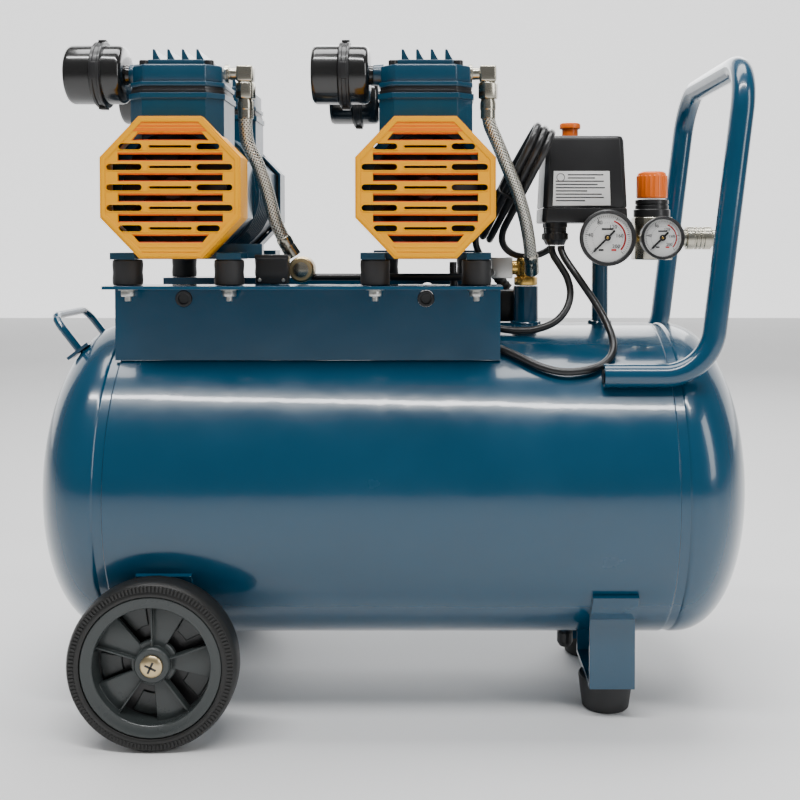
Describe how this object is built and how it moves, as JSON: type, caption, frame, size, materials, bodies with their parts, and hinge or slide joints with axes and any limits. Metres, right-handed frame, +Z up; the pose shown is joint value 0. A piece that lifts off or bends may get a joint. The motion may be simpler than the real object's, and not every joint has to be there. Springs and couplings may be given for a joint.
{
  "type": "portable air compressor",
  "caption": "Portable oil-free air compressor: double-headed pumps on a horizontal tank with wheels, feet, push handle, pressure switch, gauges and regulator.",
  "frame": {"origin": "on the floor under the middle of the tank", "axes": "+X along the tank from the wheels to the push handle, +Y from the gauges' side to the back, +Z up"},
  "size_m": [0.6646, 0.336, 0.6172],
  "materials": {
    "teal_paint": "glossy petrol blue paint",
    "yellow_plastic": "semi-gloss yellow plastic",
    "black_plastic": "satin black plastic",
    "grey_plastic": "satin dark grey plastic",
    "orange_plastic": "satin orange plastic",
    "rubber": "dull black rubber",
    "cable_rubber": "smooth black cable sheath",
    "tyre_rubber": "dull black tyre rubber",
    "zinc": "yellow-passivated zinc",
    "nickel": "bright nickel plate",
    "steel_braid": "woven stainless wire",
    "brass": "turned brass",
    "aluminium": "plain aluminium",
    "dial_white": "printed white dial"
  },
  "bodies": {
    "compressor": {"tank_shell": "teal_paint", "tank_head_left": "teal_paint", "tank_head_right": "teal_paint", "rail_front": "teal_paint", "rail_rear": "teal_paint", "push_handle": "teal_paint", "lift_handle": "teal_paint", "wheel_bracket": "teal_paint", "foot_bracket_front": "teal_paint", "foot_bracket_rear": "teal_paint", "foot_front": "rubber", "foot_rear": "rubber", "axle_bolt_front": "zinc", "axle_bolt_rear": "zinc", "pump_1_body": "teal_paint", "pump_2_body": "teal_paint", "pump_1_head_front": "teal_paint", "pump_1_head_rear": "teal_paint", "pump_2_head_front": "teal_paint", "pump_2_head_rear": "teal_paint", "pump_1_filter_front": "black_plastic", "pump_1_filter_rear": "black_plastic", "pump_2_filter_front": "black_plastic", "pump_2_filter_rear": "black_plastic", "pump_1_cover_front": "yellow_plastic", "pump_1_cover_rear": "yellow_plastic", "pump_2_cover_front": "yellow_plastic", "pump_2_cover_rear": "yellow_plastic", "pump_1_mount_front_left": "rubber", "pump_1_mount_front_right": "rubber", "pump_1_mount_rear_left": "rubber", "pump_1_mount_rear_right": "rubber", "pump_2_mount_front_left": "rubber", "pump_2_mount_front_right": "rubber", "pump_2_mount_rear_left": "rubber", "pump_2_mount_rear_right": "rubber", "hose_1": "steel_braid", "hose_2": "steel_braid", "air_manifold": "brass", "switch_box": "black_plastic", "gauge_tank": "black_plastic", "gauge_line": "black_plastic", "regulator_body": "black_plastic", "motor_lead_1": "cable_rubber", "motor_lead_2": "cable_rubber", "mains_lead": "cable_rubber", "mains_hank": "cable_rubber", "mains_plug": "black_plastic"},
    "front_wheel": {"wheel_hub_front": "grey_plastic", "tyre_front": "tyre_rubber"},
    "rear_wheel": {"wheel_hub_rear": "grey_plastic", "tyre_rear": "tyre_rubber"},
    "pump_1_rotor_body": {"pump_1_rotor": "black_plastic"},
    "pump_2_rotor_body": {"pump_2_rotor": "black_plastic"},
    "switch_knob_body": {"switch_knob": "orange_plastic"},
    "regulator_knob_body": {"regulator_knob": "orange_plastic"},
    "coupler_sleeve_body": {"coupler_sleeve": "nickel"},
    "tank_needle_body": {"needle_tank": "black_plastic"},
    "line_needle_body": {"needle_line": "black_plastic"},
    "drain_knob_body": {"drain_knob": "black_plastic"}
  },
  "joints": [
    {"name": "front_wheel_spin", "type": "hinge", "parent": "compressor", "child": "front_wheel", "pos_m": [-0.2045, -0.154, 0.0735], "axis": [0, 1, 0], "continuous": true},
    {"name": "rear_wheel_spin", "type": "hinge", "parent": "compressor", "child": "rear_wheel", "pos_m": [-0.2045, 0.154, 0.0735], "axis": [0, 1, 0], "continuous": true},
    {"name": "pump_1_rotor_spin", "type": "hinge", "parent": "compressor", "child": "pump_1_rotor_body", "pos_m": [-0.1915, 0, 0.483], "axis": [0, 1, 0], "continuous": true},
    {"name": "pump_2_rotor_spin", "type": "hinge", "parent": "compressor", "child": "pump_2_rotor_body", "pos_m": [0.0295, 0, 0.483], "axis": [0, 1, 0], "continuous": true},
    {"name": "switch_knob_press", "type": "slide", "parent": "compressor", "child": "switch_knob_body", "axis": [0, 0, 1], "range_m": [-0.006, 0]},
    {"name": "regulator_knob_turn", "type": "hinge", "parent": "compressor", "child": "regulator_knob_body", "pos_m": [0.253, 0, 0.49], "axis": [0, 0, 1], "range_deg": [-360, 360]},
    {"name": "coupler_sleeve_slide", "type": "slide", "parent": "compressor", "child": "coupler_sleeve_body", "axis": [1, 0, 0], "range_m": [-0.004, 0], "stiffness_N_per_m": 800},
    {"name": "tank_needle_turn", "type": "hinge", "parent": "compressor", "child": "tank_needle_body", "pos_m": [0.199, -0.066, 0.4395], "axis": [0, 1, 0], "range_deg": [0, 270], "stiffness_Nm_per_rad": 0.001},
    {"name": "line_needle_turn", "type": "hinge", "parent": "compressor", "child": "line_needle_body", "pos_m": [0.2522, -0.058, 0.4395], "axis": [0, 1, 0], "range_deg": [0, 270], "stiffness_Nm_per_rad": 0.001},
    {"name": "drain_knob_turn", "type": "hinge", "parent": "compressor", "child": "drain_knob_body", "pos_m": [0.168, 0, 0.04], "axis": [0, 0, 1], "range_deg": [0, 360]}
  ]
}
